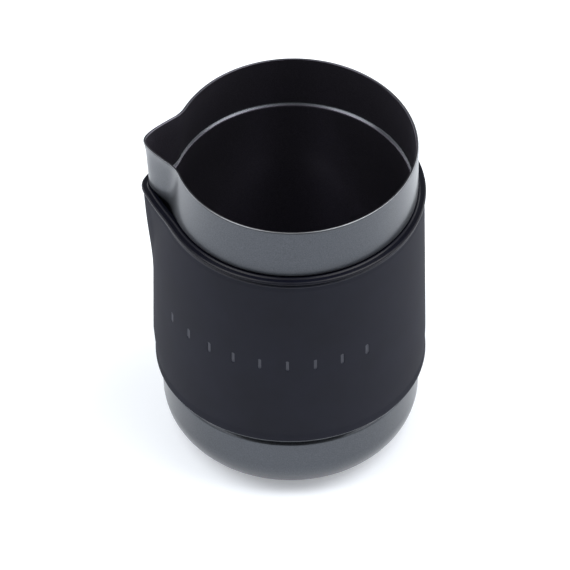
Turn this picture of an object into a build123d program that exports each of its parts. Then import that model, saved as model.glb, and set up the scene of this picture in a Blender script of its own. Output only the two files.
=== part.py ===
"""Handleless milk frothing pitcher: a deep-drawn steel vessel and a silicone grip sleeve.

Millimetres, +Z up.  The origin is the centre of the flat base, on the surface that the
pitcher stands on, and the spout points along -X.  Depths are measured down from the rim.
"""
import os
from math import cos, exp, hypot, pi, radians, sin

from build123d import *

# ---- driving dimensions -----------------------------------------------------------
HEIGHT = 126.4            # base to rim
RIM_RADIUS = 43.0         # outside of the collar
FOOT_RADIUS = 43.9        # outside of the foot, below the sleeve
SHEET = 0.9               # steel thickness
CORNER_RADIUS = 15.5      # outside rounding between the wall and the flat base

COLLAR = 19.95            # height of the bare collar
STEP_DEPTH = 1.15         # how far the wall is drawn in under the sleeve
STEP_HEIGHT = 0.85        # height over which it moves in
STEP_LAP = 0.25           # how much lower each step lies inside than outside
FOOT_TOP = 99.3           # depth at which the recess ends and the foot begins
FOOT_EDGE = 0.35          # flat ring round the top of the foot

SLEEVE_TOP = 20.95        # depth of the sleeve's top edge where it grips the recess
LIP_TOP = 20.45           # and of the inner ridge of its lip
SLEEVE_BOTTOM = 95.8      # and of its bottom edge, which leaves a dark gap above the foot
BORE_GAP = 0.05           # drawn between the sleeve and the wall that it grips
SLEEVE_PROUD = 2.12       # sleeve's outside beyond the bare steel
LIP_PROUD = 2.65          # its top lip beyond the bare steel
LIP_RIDGE = 0.3           # how far the lip's flat top lies below its inner ridge
LIP_HEIGHT = 0.65         # height of the lip's outer part, below SLEEVE_TOP
BOTTOM_EDGE = 0.3         # bevel of the bottom edge
GROOVE_PROUD = 1.3        # floor of the groove under the lip beyond the bare steel
GROOVE_HEIGHT = 1.1       # height of the groove
UNDERCUT = 0.15           # height over which the lip falls back into the groove
SHOULDER = 0.45           # height over which the outside rises out of the groove
FLARE_PROUD = 2.47        # its bottom edge beyond the bare steel
FLARE_HEIGHT = 2.4        # height over which the bottom edge flares out

SPOUT_HALF_ANGLE = radians(38.9)   # between the spout's centre line and each side
SPOUT_APEX = 55.15        # from the axis to where the flat sides would meet, at the rim
SPOUT_CURL = 0.91         # how far the pouring lip curls out
CURL_REACH = 2.0          # how far down the curl dies away
SPOUT_LEAN = 0.037        # how much the sides move in for each millimetre of depth
LEAN_GROWTH = 0.0014      # and how that grows with depth
NOSE_ROUNDING = 0.0965    # radians over which the sides turn into each other
VALLEY_BLEND = 1.76       # softness of the valleys beside the spout
PULL = 3.2                # how far the round wall is pulled in where the spout is pressed
PULL_WIDTH = 1.14         # its half width, radians
PULL_REACH = 46.6         # depth at which it has gone
STRETCH = 0.4             # how far the wall opposite the spout is stretched away from it
STRETCH_FROM = radians(120.0)      # angle at which that starts
STRETCH_END = (84.0, SLEEVE_BOTTOM)   # depths where it starts to fade and has gone
TAUT_HALF_ANGLE = radians(56.0)    # between the centre line and the sleeve's taut flanks
TAUT_INSET = 0.35         # the taut flanks start this far inside the spout's nose
TAUT_BLEND = 0.8          # softness of the turn from the taut flanks into the round wall
KEEL = 1.1                # low broad swell below the spout
KEEL_WIDTH = 0.42         # its half width, radians
KEEL_RANGE = (12.0, 50.0, 84.0, SLEEVE_BOTTOM)   # depths where it starts, is full, fades, ends

MARK_COUNT = 9            # plain pill-shaped recesses round the side of the sleeve
MARK_PITCH = radians(12.0)
MARK_CENTRE = radians(-80.0)       # middle of the row, from the spout's centre line
MARK_DEPTH = 60.0         # middle of the recesses, below the rim
MARK_HEIGHT = 4.6
MARK_WIDTH = 1.4
MARK_RECESS = 0.3         # how deep they go in

OUTLINE_POINTS = 72
OUTLINE_GATHER = 0.72     # crowds the outline's points towards the spout
COLLAR_DEPTHS = (0.0, 1.0, 2.5, 5.0, 10.0)
WALL_DEPTHS = (26.0, 32.0, 38.0, 44.0, 50.0, 58.0, 70.0, 84.0, 90.0)


def smooth_max(a, b, blend):
    """The larger of two numbers, rounded off where they differ by less than blend."""
    near = max(blend - abs(a - b), 0.0) / blend
    return max(a, b) + near * near * blend / 4


def smooth_step(value, low, high):
    """Goes from 0 at low to 1 at high with no corner."""
    part = min(max((value - low) / (high - low), 0.0), 1.0)
    return part * part * (3 - 2 * part)


def wall_radius(depth):
    """Outside radius of the round wall, which widens slightly from collar to foot."""
    part = min(max((depth - COLLAR) / (SLEEVE_BOTTOM - COLLAR), 0.0), 1.0)
    return RIM_RADIUS + part * (FOOT_RADIUS - RIM_RADIUS)


def spout_radius(angle, depth):
    """Radius of the spout's two leaning sides and the rounded nose between them."""
    curl = SPOUT_CURL * (1 - exp(-depth / CURL_REACH))
    apex = SPOUT_APEX - curl - SPOUT_LEAN * depth - LEAN_GROWTH * depth ** 2
    turn = min(hypot(angle, NOSE_ROUNDING), pi / 2 - SPOUT_HALF_ANGLE)
    return apex * sin(SPOUT_HALF_ANGLE) / sin(SPOUT_HALF_ANGLE + turn)


def pulled_wall(angle, depth):
    """Radius of the round wall, pulled in beside the spout and stretched out opposite it."""
    pull = PULL * exp(-((angle / PULL_WIDTH) ** 2)) * (1 - smooth_step(depth, 0, PULL_REACH))
    stretch = STRETCH * smooth_step(abs(angle), STRETCH_FROM, pi) * (1 - smooth_step(depth, *STRETCH_END))
    return wall_radius(depth) - pull + stretch


def keel(angle, depth):
    """Height of the low swell below the spout."""
    start, full, fade, end = KEEL_RANGE
    swell = KEEL * smooth_step(depth, start, full) * (1 - smooth_step(depth, fade, end))
    return swell * exp(-((angle / KEEL_WIDTH) ** 2))


def steel_radius(angle, depth):
    """Radius of the bare vessel, at an angle from the spout's centre line."""
    body = smooth_max(pulled_wall(angle, depth), spout_radius(angle, depth), VALLEY_BLEND)
    return body + keel(angle, depth)


def taut_radius(angle, depth):
    """Radius of the same form with the sleeve stretched straight across the valleys."""
    nose = spout_radius(0, depth) - TAUT_INSET
    turn = min(hypot(angle, NOSE_ROUNDING), pi / 2 - TAUT_HALF_ANGLE)
    flank = nose * sin(TAUT_HALF_ANGLE + NOSE_ROUNDING) / sin(TAUT_HALF_ANGLE + turn)
    return smooth_max(steel_radius(angle, depth), flank, TAUT_BLEND)


def outline(radius_at, depth, proud):
    """Closed outline of a form at a depth, moved out along its own normal."""
    points = []
    small = 1e-4
    for number in range(OUTLINE_POINTS):
        share = 2 * pi * number / OUTLINE_POINTS - pi
        angle = share - OUTLINE_GATHER * sin(share)
        radius = radius_at(angle, depth)
        slope = (radius_at(angle + small, depth) - radius_at(angle - small, depth)) / (2 * small)
        length = hypot(radius, slope)
        out = radius + proud * radius / length
        along = -proud * slope / length
        x = out * cos(angle) - along * sin(angle)
        y = out * sin(angle) + along * cos(angle)
        points.append((-x, y, HEIGHT - depth))
    return Wire([Edge.make_spline([Vector(*point) for point in points], periodic=True)])


def form(radius_at, profile):
    """Solid through the outlines of a list of (depth, proud) pairs."""
    wires = [outline(radius_at, depth, proud) for depth, proud in profile]
    return Solid.make_loft(wires, ruled=True)


def wall(top, bottom, proud):
    """Pairs of the long plain wall from one depth to another."""
    depths = (top,) + WALL_DEPTHS + (bottom,)
    return [(depth, proud) for depth in depths]


def collar(bottom, proud):
    """Pairs of the bare collar from the rim to a depth."""
    depths = COLLAR_DEPTHS + (bottom,)
    return [(depth, proud) for depth in depths]


def foot(inset, top, edge):
    """Round bottom of the vessel, up to the step under the sleeve."""
    radius = FOOT_RADIUS - inset
    corner = CORNER_RADIUS - inset
    top_z = HEIGHT - top
    with BuildSketch(Plane.XZ) as section:
        with BuildLine():
            base = Line((0, inset), (radius - corner, inset))
            bend = RadiusArc(base @ 1, (radius, inset + corner), -corner)
            side = Line(bend @ 1, (radius, top_z - STEP_HEIGHT))
            step = Line(side @ 1, (radius - STEP_DEPTH + edge, top_z))
            Polyline(step @ 1, (0, top_z), (0, inset))
        make_face()
    return revolve(section.sketch, axis=Axis.Z)


def steel_body():
    """Drawn vessel: collar with spout, recess for the sleeve, rounded foot."""
    recess = wall(COLLAR + STEP_HEIGHT, SLEEVE_BOTTOM, -STEP_DEPTH) + [(FOOT_TOP, -STEP_DEPTH)]
    outside = form(steel_radius, collar(COLLAR, 0) + recess)
    outside += foot(0, FOOT_TOP, FOOT_EDGE)

    thin = -STEP_DEPTH - SHEET
    inner_collar = COLLAR + STEP_LAP
    inner_foot = FOOT_TOP + STEP_LAP
    inner_recess = wall(inner_collar + STEP_HEIGHT, SLEEVE_BOTTOM, thin) + [(inner_foot, thin)]
    cavity = form(steel_radius, collar(inner_collar, -SHEET) + inner_recess)
    cavity += foot(SHEET, inner_foot, FOOT_EDGE)
    return outside - cavity


def marks():
    """Tools that cut the row of plain pill-shaped recesses into the sleeve's side."""
    tools = []
    for number in range(MARK_COUNT):
        angle = MARK_CENTRE + (number - (MARK_COUNT - 1) / 2) * MARK_PITCH
        floor = taut_radius(angle, MARK_DEPTH) + SLEEVE_PROUD - MARK_RECESS
        outward = Vector(-cos(angle), sin(angle), 0)
        start = outward * floor + Vector(0, 0, HEIGHT - MARK_DEPTH)
        plane = Plane(origin=start, x_dir=Vector(0, 0, 1), z_dir=outward)
        tools.append(extrude(plane * SlotOverall(MARK_HEIGHT, MARK_WIDTH), 2))
    return tools


def grip_sleeve():
    """Moulded sleeve that fills the recess and stands proud of the steel."""
    lip_bottom = SLEEVE_TOP + LIP_HEIGHT
    groove = lip_bottom + GROOVE_HEIGHT
    profile = [
        (LIP_TOP, 0.35),
        (LIP_TOP + LIP_RIDGE, 0.8),
        (LIP_TOP + LIP_RIDGE, LIP_PROUD - 0.55),
        (SLEEVE_TOP + 0.1, LIP_PROUD - 0.1),
        (SLEEVE_TOP + 0.4, LIP_PROUD),
        (lip_bottom, LIP_PROUD),
        (lip_bottom + UNDERCUT, GROOVE_PROUD),
        (groove, GROOVE_PROUD),
    ]
    profile += wall(groove + SHOULDER, SLEEVE_BOTTOM - FLARE_HEIGHT, SLEEVE_PROUD)
    profile += [
        (SLEEVE_BOTTOM - BOTTOM_EDGE, FLARE_PROUD),
        (SLEEVE_BOTTOM, FLARE_PROUD - BOTTOM_EDGE),
    ]
    bore = [(LIP_TOP, 0)] + wall(SLEEVE_TOP, SLEEVE_BOTTOM, BORE_GAP - STEP_DEPTH)
    sleeve = form(taut_radius, profile) - form(taut_radius, bore)
    for tool in marks():
        sleeve -= tool
    return sleeve


def main():
    os.makedirs("parts", exist_ok=True)
    nodes = {"steel_body": steel_body(), "grip_sleeve": grip_sleeve()}
    for name, shape in nodes.items():
        export_step(shape, f"parts/{name}.step")
        box = shape.bounding_box()
        print(name, len(shape.solids()), "solid", round(shape.volume / 1000, 2), "cm3", box.min, box.max)


main()
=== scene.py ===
from math import atan2, ceil, cos, exp, hypot, pi, radians, sin, tan

import bpy
from mathutils import Matrix, Vector


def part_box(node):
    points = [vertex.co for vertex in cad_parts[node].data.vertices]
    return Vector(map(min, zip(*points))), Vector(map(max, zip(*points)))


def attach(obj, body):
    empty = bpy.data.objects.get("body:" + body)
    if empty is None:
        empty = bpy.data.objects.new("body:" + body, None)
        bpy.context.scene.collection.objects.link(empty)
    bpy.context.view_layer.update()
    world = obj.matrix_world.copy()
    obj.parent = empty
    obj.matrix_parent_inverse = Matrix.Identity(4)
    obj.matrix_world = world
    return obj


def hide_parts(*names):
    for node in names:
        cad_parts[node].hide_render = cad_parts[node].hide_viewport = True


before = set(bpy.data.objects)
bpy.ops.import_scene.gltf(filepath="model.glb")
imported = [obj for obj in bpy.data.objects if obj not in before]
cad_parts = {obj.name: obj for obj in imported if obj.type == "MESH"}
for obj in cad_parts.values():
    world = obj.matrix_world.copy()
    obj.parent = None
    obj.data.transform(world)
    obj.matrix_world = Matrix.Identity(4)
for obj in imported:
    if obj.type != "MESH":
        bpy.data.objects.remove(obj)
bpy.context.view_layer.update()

MM = 0.001

# ---- dimensions of the form, in millimetres; depths are measured down from the rim -----
HEIGHT = round(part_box("steel_body")[1][2] / MM, 3)
RIM_RADIUS = 43.0
FOOT_RADIUS = round(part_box("steel_body")[1][0] / MM, 3)
SHEET = 0.9
RIM_OUTER_ROUNDING = 0.52
RIM_INNER_ROUNDING = 0.34
CORNER_RADIUS = 15.5
BASE_FAN = 1.0            # radius of the fan of triangles in the middle of each flat base

# the collar's step, the recess under the sleeve and the step of the foot
COLLAR = 19.95
STEP_DEPTH = 1.15
STEP_HEIGHT = 0.85
STEP_LAP = 0.25           # the steps on the inside sit this much lower
STEP_ROUNDING = 0.8
FOOT_TOP = 99.3

# the sleeve: its distances out are from the form's outline, not from the recess
SLEEVE_TOP = 20.95
SLEEVE_BOTTOM = round(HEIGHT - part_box("grip_sleeve")[0][2] / MM, 3)
SLEEVE_PROUD = 2.12
BORE_GAP = 0.05
LIP_TOP = round(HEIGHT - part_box("grip_sleeve")[1][2] / MM, 3)
LIP_RIDGE = 0.3           # height of the ridge along the lip's inner edge
LIP_PROUD = 2.65
LIP_BOTTOM = SLEEVE_TOP + 0.65
GROOVE_TOP = LIP_BOTTOM + 0.15
GROOVE_BOTTOM = GROOVE_TOP + 1.1
GROOVE_PROUD = 1.3
SHOULDER = GROOVE_BOTTOM + 0.45
SHOULDER_END = SHOULDER + 1.85
FLARE_PROUD = 2.47
FLARE_START = SLEEVE_BOTTOM - 3.0
FLARE_END = SLEEVE_BOTTOM - 1.0
SEAM = (60.0, 60.5)       # depths on the bore where the closed profile starts and ends

# the spout
SPOUT_HALF_ANGLE = radians(38.9)
SPOUT_APEX = 55.15
SPOUT_CURL = 0.91
CURL_REACH = 2.0
SPOUT_LEAN = 0.037
LEAN_GROWTH = 0.0014
NOSE_ROUNDING = 0.0965
VALLEY_BLEND = 1.76

# the round wall's pull towards the spout, and its stretch on the opposite side
PULL = 3.2
PULL_WIDTH = 1.14
PULL_REACH = 46.6
STRETCH = 0.4
STRETCH_FROM = radians(120.0)
STRETCH_END = (84.0, SLEEVE_BOTTOM)

# the sleeve's straight flanks across the valleys, and the low swell below the spout
TAUT_HALF_ANGLE = radians(56.0)
TAUT_INSET = 0.35
TAUT_BLEND = 0.8
KEEL = 1.1
KEEL_WIDTH = 0.42
KEEL_RANGE = (12.0, 50.0, 84.0, SLEEVE_BOTTOM)

# the plain marks on the sleeve
MARK_COUNT = 9
MARK_PITCH = radians(12.0)
MARK_CENTRE = radians(-80.0)
MARK_DEPTH = 60.0
MARK_HEIGHT = 4.6
MARK_WIDTH = 1.4
MARK_RECESS = 0.3
MARK_SLOPE = (-0.05, 0.3)         # where a mark's side starts and ends, in from its outline
MARK_MARGIN = 0.3                 # how far the fine rows reach past the marks

# ---- where the finishes, the painted highlights and the painted shade change
# ----------------------
# the rim's band of lighter steel is a painted highlight on its rounding
RIM_HIGHLIGHT_DEPTH = 0.25
RIM_HIGHLIGHT_INSET = (0.12, 0.5)      # from the outside of the rim
COLLAR_INSIDE = 0.7               # inset from which the collar's faces are inside ones
# the lip's band gets glossier silicone with a darker tint; the darker tint is painted shade
LIP_GLOSS_AND_SHADE_END = SLEEVE_TOP + 0.78
# the shoulder's lighter silicone paints the highlight under the groove
SHOULDER_HIGHLIGHT_END = SLEEVE_TOP + 3.1
# the bottom edge's pale silicone is a painted highlight along its rounded underside
EDGE_HIGHLIGHT_HEIGHT = 0.4
EDGE_HIGHLIGHT_WIDTH = 0.6


# ---- the form ---------------------------------------------------------------------
def smooth_max(a, b, blend):
    """The larger of two numbers, rounded off where they differ by less than blend."""
    near = max(blend - abs(a - b), 0.0) / blend
    return max(a, b) + near * near * blend / 4


def smooth_step(value, low, high):
    """Goes from 0 at low to 1 at high with no corner."""
    part = min(max((value - low) / (high - low), 0.0), 1.0)
    return part * part * (3 - 2 * part)


def wall_radius(depth):
    """Outside radius of the round wall, which widens slightly from collar to foot."""
    part = min(max((depth - COLLAR) / (SLEEVE_BOTTOM - COLLAR), 0.0), 1.0)
    return RIM_RADIUS + part * (FOOT_RADIUS - RIM_RADIUS)


def spout_radius(angle, depth):
    """Radius of the spout's two leaning sides and the rounded nose between them."""
    curl = SPOUT_CURL * (1 - exp(-depth / CURL_REACH))
    apex = SPOUT_APEX - curl - SPOUT_LEAN * depth - LEAN_GROWTH * depth ** 2
    turn = min(hypot(angle, NOSE_ROUNDING), pi / 2 - SPOUT_HALF_ANGLE)
    return apex * sin(SPOUT_HALF_ANGLE) / sin(SPOUT_HALF_ANGLE + turn)


def pulled_wall(angle, depth):
    """Radius of the round wall, pulled in beside the spout and stretched out opposite it."""
    pull = PULL * exp(-((angle / PULL_WIDTH) ** 2)) * (1 - smooth_step(depth, 0, PULL_REACH))
    stretch = STRETCH * smooth_step(abs(angle), STRETCH_FROM, pi)
    return wall_radius(depth) - pull + stretch * (1 - smooth_step(depth, *STRETCH_END))


def keel(angle, depth):
    """Height of the low swell below the spout."""
    start, full, fade, end = KEEL_RANGE
    swell = KEEL * smooth_step(depth, start, full) * (1 - smooth_step(depth, fade, end))
    return swell * exp(-((angle / KEEL_WIDTH) ** 2))


def steel_radius(angle, depth):
    """Radius of the bare vessel, at an angle from the spout's centre line."""
    body = smooth_max(pulled_wall(angle, depth), spout_radius(angle, depth), VALLEY_BLEND)
    return body + keel(angle, depth)


def taut_radius(angle, depth):
    """Radius of the same form with the sleeve stretched straight across the valleys."""
    nose = spout_radius(0, depth) - TAUT_INSET
    turn = min(hypot(angle, NOSE_ROUNDING), pi / 2 - TAUT_HALF_ANGLE)
    flank = nose * sin(TAUT_HALF_ANGLE + NOSE_ROUNDING) / sin(TAUT_HALF_ANGLE + turn)
    return smooth_max(steel_radius(angle, depth), flank, TAUT_BLEND)


def form_point(radius_at, angle, depth, proud):
    """Point of a form in metres, moved out by proud along the outline's normal."""
    small = 1e-4
    radius = radius_at(angle, depth)
    slope = (radius_at(angle + small, depth) - radius_at(angle - small, depth)) / (2 * small)
    length = hypot(radius, slope)
    out = radius + proud * radius / length
    along = -proud * slope / length
    x = out * cos(angle) - along * sin(angle)
    y = out * sin(angle) + along * cos(angle)
    return (-x * MM, y * MM, (HEIGHT - depth) * MM)


# ---- meshes -----------------------------------------------------------------------
ARC_STEPS = 7             # fewest steps in a rounded corner
ARC_SPACING = 1.5         # longest step along a large one, in millimetres
SUPPORT = 0.12            # millimetres from an arc to the row that holds its shading
FINE = 0.13               # spacing of rows and columns across the marks, in millimetres


def rounded(points):
    """Rounds a profile's corners: (depth, proud, radius) in, (depth, proud) rows out."""
    rows = []
    last = len(points) - 1
    for number, (depth, proud, radius) in enumerate(points):
        here = Vector((depth, proud))
        if number in (0, last) or radius == 0:
            rows.append((depth, proud))
            continue
        before = (Vector(points[number - 1][:2]) - here).normalized()
        after = (Vector(points[number + 1][:2]) - here).normalized()
        half = before.angle(after) / 2
        reach = radius / tan(half)
        centre = here + (before + after).normalized() * (radius / sin(half))
        first = here + before * reach
        final = here + after * reach
        start = first - centre
        sweep = start.angle(final - centre)
        turn = start.angle_signed(final - centre)
        steps = max(ARC_STEPS, int(sweep * radius / ARC_SPACING))
        support = min(SUPPORT, radius / 3)
        rows.append(tuple(first + before * support))
        for step in range(steps + 1):
            spin = Matrix.Rotation(-turn * step / steps, 2)
            rows.append(tuple(centre + spin @ start))
        rows.append(tuple(final + after * support))
    return rows


def filled(rows, longest=4.0):
    """Adds rows where two neighbours are further apart than longest."""
    result = [rows[0]]
    for row in rows[1:]:
        previous = result[-1]
        gap = hypot(row[0] - previous[0], row[1] - previous[1])
        parts = max(1, ceil(gap / longest))
        for part in range(1, parts + 1):
            share = part / parts
            result.append(tuple(a + (b - a) * share for a, b in zip(previous, row)))
    return result


def column_angles(count=300, gather=0.72):
    """Angles all round, crowded towards the spout."""
    shares = [2 * pi * number / count - pi for number in range(count)]
    return [share - gather * sin(share) for share in shares]


def mesh_object(name, vertices, faces):
    """Smooth-shaded mesh, linked to the scene."""
    mesh = bpy.data.meshes.new(name)
    mesh.from_pydata(vertices, [], faces)
    mesh.validate()
    mesh.update()
    mesh.shade_smooth()
    piece = bpy.data.objects.new(name, mesh)
    bpy.context.collection.objects.link(piece)
    return piece


def skin(name, radius_at, rows, angles, closed, raised=None):
    """Mesh through every row and angle. A closed one joins its last row to its first.

    An open one gets a fan of triangles at either end. raised gives how far the outside
    stands out of the profile at an angle and depth.
    """
    vertices = []
    faces = []
    count = len(angles)
    for depth, proud in rows:
        outside = raised is not None and proud > 0
        for angle in angles:
            extra = raised(angle, depth) if outside else 0.0
            vertices.append(form_point(radius_at, angle, depth, proud + extra))
    pairs = len(rows) if closed else len(rows) - 1
    for row in range(pairs):
        following = (row + 1) % len(rows)
        for column in range(count):
            beside = (column + 1) % count
            faces.append((
                row * count + column,
                row * count + beside,
                following * count + beside,
                following * count + column,
            ))
    if not closed:
        for row, flip in ((0, False), (len(rows) - 1, True)):
            centre = len(vertices)
            vertices.append((0.0, 0.0, (HEIGHT - rows[row][0]) * MM))
            for column in range(count):
                beside = (column + 1) % count
                face = (row * count + column, centre, row * count + beside)
                faces.append(face[::-1] if flip else face)
    return mesh_object(name, vertices, faces)


def steel_profile():
    """From the middle of the underside out, up to the rim, and down inside to the middle."""
    recess = -STEP_DEPTH - SHEET
    inner_collar = COLLAR + STEP_LAP
    inner_foot = FOOT_TOP + STEP_LAP
    inner_base = HEIGHT - SHEET
    middle = BASE_FAN - FOOT_RADIUS
    return rounded([
        (HEIGHT, middle, 0),
        (HEIGHT, 0, CORNER_RADIUS),
        (FOOT_TOP + STEP_HEIGHT, 0, STEP_ROUNDING),
        (FOOT_TOP, -STEP_DEPTH, STEP_ROUNDING),
        (COLLAR + STEP_HEIGHT, -STEP_DEPTH, STEP_ROUNDING),
        (COLLAR, 0, STEP_ROUNDING),
        (0, 0, RIM_OUTER_ROUNDING),
        (0, -SHEET, RIM_INNER_ROUNDING),
        (inner_collar, -SHEET, STEP_ROUNDING),
        (inner_collar + STEP_HEIGHT, recess, STEP_ROUNDING),
        (inner_foot, recess, STEP_ROUNDING),
        (inner_foot + STEP_HEIGHT, -SHEET, STEP_ROUNDING),
        (inner_base, -SHEET, CORNER_RADIUS - SHEET),
        (inner_base, middle, 0),
    ])


def sleeve_rows():
    """Closed profile of the sleeve, with fine rows on the outside where the marks are."""
    bore = BORE_GAP - STEP_DEPTH
    ridge = LIP_TOP + LIP_RIDGE
    reach = MARK_HEIGHT / 2 + MARK_MARGIN
    first = MARK_DEPTH - reach
    steps = int(2 * reach / FINE)
    upper = rounded([
        (SEAM[0], bore, 0),
        (SLEEVE_TOP, bore, 0.2),
        (LIP_TOP, 0.05, 0.12),
        (LIP_TOP, 0.35, 0.25),
        (ridge, 0.8, 0.4),
        (ridge, LIP_PROUD - 0.55, 0.5),
        (SLEEVE_TOP + 0.1, LIP_PROUD - 0.1, 0.25),
        (SLEEVE_TOP + 0.4, LIP_PROUD, 0.2),
        (LIP_BOTTOM, LIP_PROUD, 0.12),
        (GROOVE_TOP, GROOVE_PROUD, 0.1),
        (GROOVE_BOTTOM, GROOVE_PROUD, 0.3),
        (SHOULDER, SLEEVE_PROUD - 0.2, 0.4),
        (SHOULDER_END, SLEEVE_PROUD, 3.5),
        (first - FINE, SLEEVE_PROUD, 0),
    ])
    fine = [(first + 2 * reach * step / steps, SLEEVE_PROUD) for step in range(steps + 1)]
    lower = rounded([
        (MARK_DEPTH + reach + FINE, SLEEVE_PROUD, 0),
        (FLARE_START, SLEEVE_PROUD, 2.0),
        (FLARE_END, FLARE_PROUD, 0.8),
        (SLEEVE_BOTTOM, FLARE_PROUD, 0.2),
        (SLEEVE_BOTTOM, bore, 0.3),
        (SEAM[1], bore, 0),
    ])
    return filled(upper) + fine + filled(lower)


def steel_body():
    """The vessel, in place of its CAD node."""
    rows = filled(steel_profile())[::-1]      # reversed, so that its faces point outwards
    piece = skin("steel_vessel", steel_radius, rows, column_angles(), closed=False)
    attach(piece, "root")
    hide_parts("steel_body")
    return piece


def mark_middles():
    """Angles of the middles of the plain marks."""
    first = MARK_CENTRE - MARK_PITCH * (MARK_COUNT - 1) / 2
    return [first + number * MARK_PITCH for number in range(MARK_COUNT)]


def mark_height(angle, depth):
    """How far the plain pill-shaped marks change the sleeve's outside at a point."""
    middle = min(mark_middles(), key=lambda place: abs(place - angle))
    across = (angle - middle) * (RIM_RADIUS + SLEEVE_PROUD)
    along = max(abs(depth - MARK_DEPTH) - (MARK_HEIGHT - MARK_WIDTH) / 2, 0.0)
    edge = MARK_WIDTH / 2 - hypot(across, along)
    return -MARK_RECESS * smooth_step(edge, *MARK_SLOPE)


def sleeve_angles():
    """Angles of the sleeve's columns, close together across each mark."""
    radius = RIM_RADIUS + SLEEVE_PROUD
    steps = int(MARK_WIDTH / 2 / FINE) + 2
    angles = column_angles()
    for middle in mark_middles():
        angles = [angle for angle in angles if abs(angle - middle) > (steps + 1) * FINE / radius]
        angles += [middle + step * FINE / radius for step in range(-steps, steps + 1)]
    return sorted(angles)


def grip_sleeve():
    """The sleeve with its marks, in place of its CAD node."""
    rows = sleeve_rows()
    angles = sleeve_angles()
    piece = skin("grip_sleeve_moulding", taut_radius, rows, angles, closed=True, raised=mark_height)
    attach(piece, "root")
    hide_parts("grip_sleeve")
    return piece


# ---- materials --------------------------------------------------------------------
def finish_faces(piece, finishes, choose):
    """Gives each face the finish that choose names for its angle, depth and radius."""
    for finish in finishes.values():
        piece.data.materials.append(finish)
    places = {name: place for place, name in enumerate(finishes)}
    for face in piece.data.polygons:
        x, y, z = (value / MM for value in face.center)
        face.material_index = places[choose(atan2(y, -x), HEIGHT - z, hypot(x, y))]


def steel_finish(angle, depth, radius):
    """Painted rim highlight on the outer half of the rim, the lighter inside copy in the vessel,
    else the outside's.

    The lighter inside copy is also on the lower part of the foot's rounded corner, which lies
    as far in from the outline as the inner faces do.
    """
    inset = steel_radius(angle, depth) - radius
    nearest, farthest = RIM_HIGHLIGHT_INSET
    if depth < RIM_HIGHLIGHT_DEPTH and nearest < inset < farthest:
        # the lighter rim band paints the highlight on the rim's rounding
        return "polished"
    inner_face = COLLAR_INSIDE if depth < COLLAR else STEP_DEPTH + SHEET / 2
    within = inset > inner_face and depth < HEIGHT - SHEET / 2
    # the inside copy is a more purple, less metallic steel; its extra lightness is painted light in
    # the shaded vessel
    return "inside" if within else "outside"


def sleeve_finish(angle, depth, radius):
    """Glossy lip with painted shade, glossy shoulder and bottom edge lightened as painted
    highlights, marks lightened as painted sheen, matt elsewhere.
    """
    # the lip's darker silicone partly paints the shade on the lip band
    if depth < LIP_GLOSS_AND_SHADE_END:
        return "lip"
    # the shoulder's lighter silicone paints the highlight under the groove
    if depth < SHOULDER_HIGHLIGHT_END:
        return "shoulder"
    proud = radius - taut_radius(angle, depth)
    # the bottom edge's pale silicone paints the highlight along its rounded underside
    if depth > SLEEVE_BOTTOM - EDGE_HIGHLIGHT_HEIGHT:
        return "edge" if proud > FLARE_PROUD - EDGE_HIGHLIGHT_WIDTH else "wall"
    # the marks' lighter silicone partly paints the sheen of their glossier floors
    marked = proud > SLEEVE_PROUD / 2 and mark_height(angle, depth) < -MARK_RECESS / 2
    return "marks" if marked else "wall"


def new_material(name):
    """New material, and the inputs of its shader."""
    material = bpy.data.materials.new(name)
    material.use_nodes = True
    return material, material.node_tree.nodes["Principled BSDF"].inputs


def noise(tree, scale, detail, roughness=0.5):
    """Noise fixed to the piece's own coordinates, which are in metres."""
    coordinates = tree.nodes.new("ShaderNodeTexCoord")
    texture = tree.nodes.new("ShaderNodeTexNoise")
    texture.inputs["Scale"].default_value = scale
    texture.inputs["Detail"].default_value = detail
    texture.inputs["Roughness"].default_value = roughness
    tree.links.new(coordinates.outputs["Object"], texture.inputs["Vector"])
    return texture.outputs["Fac"]


def ramp(tree, source, stops):
    """Colour of a number between the places and colours of the stops."""
    node = tree.nodes.new("ShaderNodeValToRGB")
    for element, (place, colour) in zip(node.color_ramp.elements, stops):
        element.position = place
        element.color = (*colour, 1.0)
    tree.links.new(source, node.inputs["Fac"])
    return node.outputs["Color"]


def shades(tint, darker, lighter):
    """A tint made darker and lighter by two factors."""
    return [[factor * part for part in tint] for factor in (darker, lighter)]


def bump(tree, height, strength, distance, inputs):
    """Fine relief on the shader's normal."""
    node = tree.nodes.new("ShaderNodeBump")
    node.inputs["Strength"].default_value = strength
    node.inputs["Distance"].default_value = distance
    tree.links.new(height, node.inputs["Height"])
    tree.links.new(node.outputs["Normal"], inputs["Normal"])


def steel_material(name, tint, metallic):
    """Dark coated steel, polished round and round, so that it mirrors in upright bands."""
    material, inputs = new_material(name)
    tree = material.node_tree
    inputs["Metallic"].default_value = metallic
    inputs["Anisotropic"].default_value = 0.7
    inputs["Anisotropic Rotation"].default_value = 0.25
    inputs["Coat Weight"].default_value = 0.3
    inputs["Coat Roughness"].default_value = 0.12
    tangent = tree.nodes.new("ShaderNodeTangent")
    tangent.direction_type = "RADIAL"
    tangent.axis = "Z"
    tree.links.new(tangent.outputs["Tangent"], inputs["Tangent"])
    fleck = noise(tree, 2600.0, 2.0)
    dark, light = shades(tint, 0.84, 1.18)
    tree.links.new(ramp(tree, fleck, [(0.35, dark), (0.70, light)]), inputs["Base Color"])
    spread = tree.nodes.new("ShaderNodeMapRange")
    spread.inputs["To Min"].default_value = 0.28
    spread.inputs["To Max"].default_value = 0.32
    tree.links.new(noise(tree, 90.0, 5.0), spread.inputs["Value"])
    tree.links.new(spread.outputs["Result"], inputs["Roughness"])
    bump(tree, fleck, 0.06, 0.00004, inputs)
    return material


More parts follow.
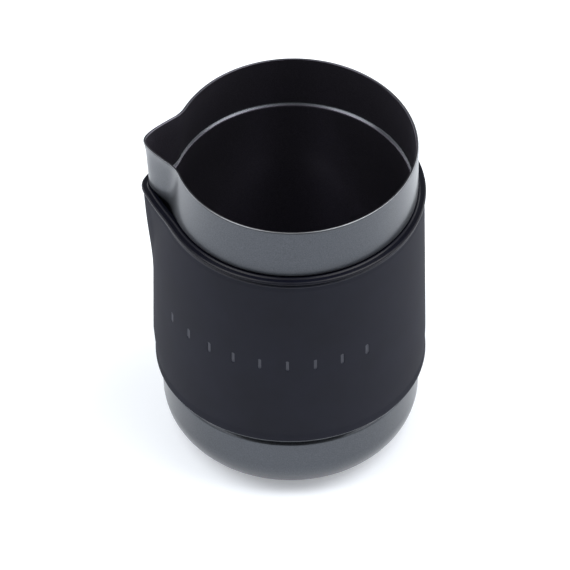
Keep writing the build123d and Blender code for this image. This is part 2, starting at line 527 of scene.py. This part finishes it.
def rim_highlight_material():
    """Lighter steel along the rim: a painted highlight on the rim's rounding."""
    material, inputs = new_material("painted_rim_highlight_steel")
    tree = material.node_tree
    inputs["Metallic"].default_value = 1.0
    inputs["Roughness"].default_value = 0.3
    colour = ramp(tree, noise(tree, 700.0, 3.0), [
        (0.3, (0.150, 0.156, 0.168)),
        (0.7, (0.190, 0.197, 0.210)),
    ])
    tree.links.new(colour, inputs["Base Color"])
    return material


def silicone_material(name, tint, roughness, refraction):
    """Moulded silicone, slightly mottled and finely grained."""
    material, inputs = new_material(name)
    tree = material.node_tree
    inputs["Roughness"].default_value = roughness
    inputs["IOR"].default_value = refraction
    mottle = noise(tree, 60.0, 6.0, 0.6)
    dark, light = shades(tint, 0.85, 1.15)
    tree.links.new(ramp(tree, mottle, [(0.3, dark), (0.7, light)]), inputs["Base Color"])
    bump(tree, noise(tree, 1500.0, 3.0), 0.15, 0.00005, inputs)
    return material


def floor_material():
    """Pale, with a little light of its own, so that it reads as one even white."""
    material, inputs = new_material("pale_floor")
    inputs["Base Color"].default_value = (0.79, 0.82, 0.86, 1)
    inputs["Emission Color"].default_value = (0.94, 0.97, 1.0, 1)
    inputs["Emission Strength"].default_value = 0.28
    inputs["Roughness"].default_value = 0.6
    inputs["Specular IOR Level"].default_value = 0.2
    return material


# ---- stage ------------------------------------------------------------------------
SENSOR = 36.0             # millimetres
LENS = 568.421            # focal length in millimetres: a very long lens
CAMERA_DISTANCE = 3.0636  # metres from the target
CAMERA_ELEVATION = radians(44.83)
CAMERA_TURN = radians(3.33)
CAMERA_ROLL = radians(-0.2425)
CAMERA_TARGET = Vector((0, 0, HEIGHT * MM - 0.055))
SHIFT = (-0.009081, -0.042560)    # in frame widths

FLOOR_REACH = 3.0
FLOOR_LEVEL = -0.0001     # just under the base, so that the two faces don't coincide

LIGHT_CENTRE = Vector((0, 0, 0.08))
SOFTBOX_DISTANCE = 1.2
CARD_TARGET = (0, 0, 0.06)
CARD_SIZE = (1.0, 0.6)
CARD_POWER = 5.65
ROOM_STRENGTH = 0.45
DARK_SIDE = (0.06, -1.0, 0.3)     # direction of the middle of the room's dark patch


def camera():
    """Long-lens camera in front of the vessel, about 45 degrees up."""
    data = bpy.data.cameras.new("camera")
    data.sensor_width = SENSOR
    data.lens = LENS
    data.shift_x, data.shift_y = SHIFT
    data.clip_start = 0.1
    data.clip_end = 20.0
    piece = bpy.data.objects.new("camera", data)
    back = Vector((
        sin(CAMERA_TURN) * cos(CAMERA_ELEVATION),
        -cos(CAMERA_TURN) * cos(CAMERA_ELEVATION),
        sin(CAMERA_ELEVATION),
    ))
    level = (-back).to_track_quat("-Z", "Y").to_matrix()
    turned = level @ Matrix.Rotation(CAMERA_ROLL, 3, "Z")
    place = CAMERA_TARGET + back * CAMERA_DISTANCE
    piece.matrix_world = Matrix.Translation(place) @ turned.to_4x4()
    bpy.context.collection.objects.link(piece)
    bpy.context.scene.camera = piece


def floor():
    """Plain square floor, larger than the frame."""
    corners = ((-1, -1), (1, -1), (1, 1), (-1, 1))
    vertices = [(FLOOR_REACH * x, FLOOR_REACH * y, FLOOR_LEVEL) for x, y in corners]
    piece = mesh_object("floor", vertices, [(0, 1, 2, 3)])
    piece.data.materials.append(floor_material())


def area_light(name, place, aim, size, power):
    """Rectangular lamp turned towards the point aim, with its power in watts."""
    data = bpy.data.lights.new(name, "AREA")
    data.shape = "RECTANGLE"
    data.size, data.size_y = size
    data.energy = power
    piece = bpy.data.objects.new(name, data)
    piece.location = place
    piece.rotation_euler = (Vector(aim) - Vector(place)).to_track_quat("-Z", "Y").to_euler()
    bpy.context.collection.objects.link(piece)


def softbox(name, direction, size, power):
    """Large lamp above, in a direction from the middle of the vessel."""
    place = LIGHT_CENTRE + SOFTBOX_DISTANCE * Vector(direction)
    area_light(name, place, LIGHT_CENTRE, size, power)


def room():
    """Even white light from all round, except for a dark patch low in front."""
    world = bpy.data.worlds.new("studio")
    world.use_nodes = True
    tree = world.node_tree
    background = tree.nodes["Background"].inputs
    background["Strength"].default_value = ROOM_STRENGTH
    coordinates = tree.nodes.new("ShaderNodeTexCoord")
    toward = tree.nodes.new("ShaderNodeVectorMath")
    toward.operation = "DOT_PRODUCT"
    toward.inputs[1].default_value = Vector(DARK_SIDE).normalized()
    tree.links.new(coordinates.outputs["Generated"], toward.inputs[0])
    colour = ramp(tree, toward.outputs["Value"], [
        (0.80, (1.0, 1.0, 1.0)),
        (0.95, (0.05, 0.05, 0.05)),
    ])
    tree.links.new(colour, background["Color"])
    bpy.context.scene.world = world


def lights():
    """Two softboxes above, a card on either side and a little behind, and the room."""
    room()
    softbox("right_softbox", (0.47, -0.10, 0.88), (0.62, 0.9), 9.8)
    softbox("left_softbox", (-0.45, -0.20, 0.87), (0.55, 0.9), 7.1)
    area_light("right_card", (0.9, 0.3, 0.32), CARD_TARGET, CARD_SIZE, CARD_POWER)
    area_light("left_card", (-0.9, 0.3, 0.32), CARD_TARGET, CARD_SIZE, CARD_POWER)


finish_faces(steel_body(), {
    "outside": steel_material("coated_steel_outside", (0.0640, 0.0695, 0.0805), 0.90),
    # painted highlight along the rim, in lighter steel
    "polished": rim_highlight_material(),
    # more purple coating inside, made lighter as painted light in the shaded vessel
    "inside": steel_material("coated_steel_inside_painted_light", (0.0860, 0.0810, 0.1040), 0.85),
}, steel_finish)
finish_faces(grip_sleeve(), {
    "wall": silicone_material("silicone_wall", (0.0063, 0.0071, 0.0144), 0.85, 1.36),
    # glossy lip, its darker tint painted shade
    "lip": silicone_material("silicone_lip_painted_shade", (0.0050, 0.0054, 0.0105), 0.27, 1.26),
    # pale bottom edge, a painted highlight
    "edge": silicone_material("silicone_edge_painted_highlight", (0.1350, 0.1450, 0.1600), 0.50, 1.40),
    # glossier marks, their lighter tint painted sheen
    "marks": silicone_material("silicone_marks_painted_sheen", (0.0180, 0.0200, 0.0350), 0.50, 1.50),
    # glossy shoulder, its lighter tint a painted highlight
    "shoulder": silicone_material("silicone_shoulder_painted_highlight", (0.0115, 0.0128, 0.0225), 0.45, 1.38),
}, sleeve_finish)
camera()
floor()
lights()
bpy.context.scene.view_settings.view_transform = "Standard"
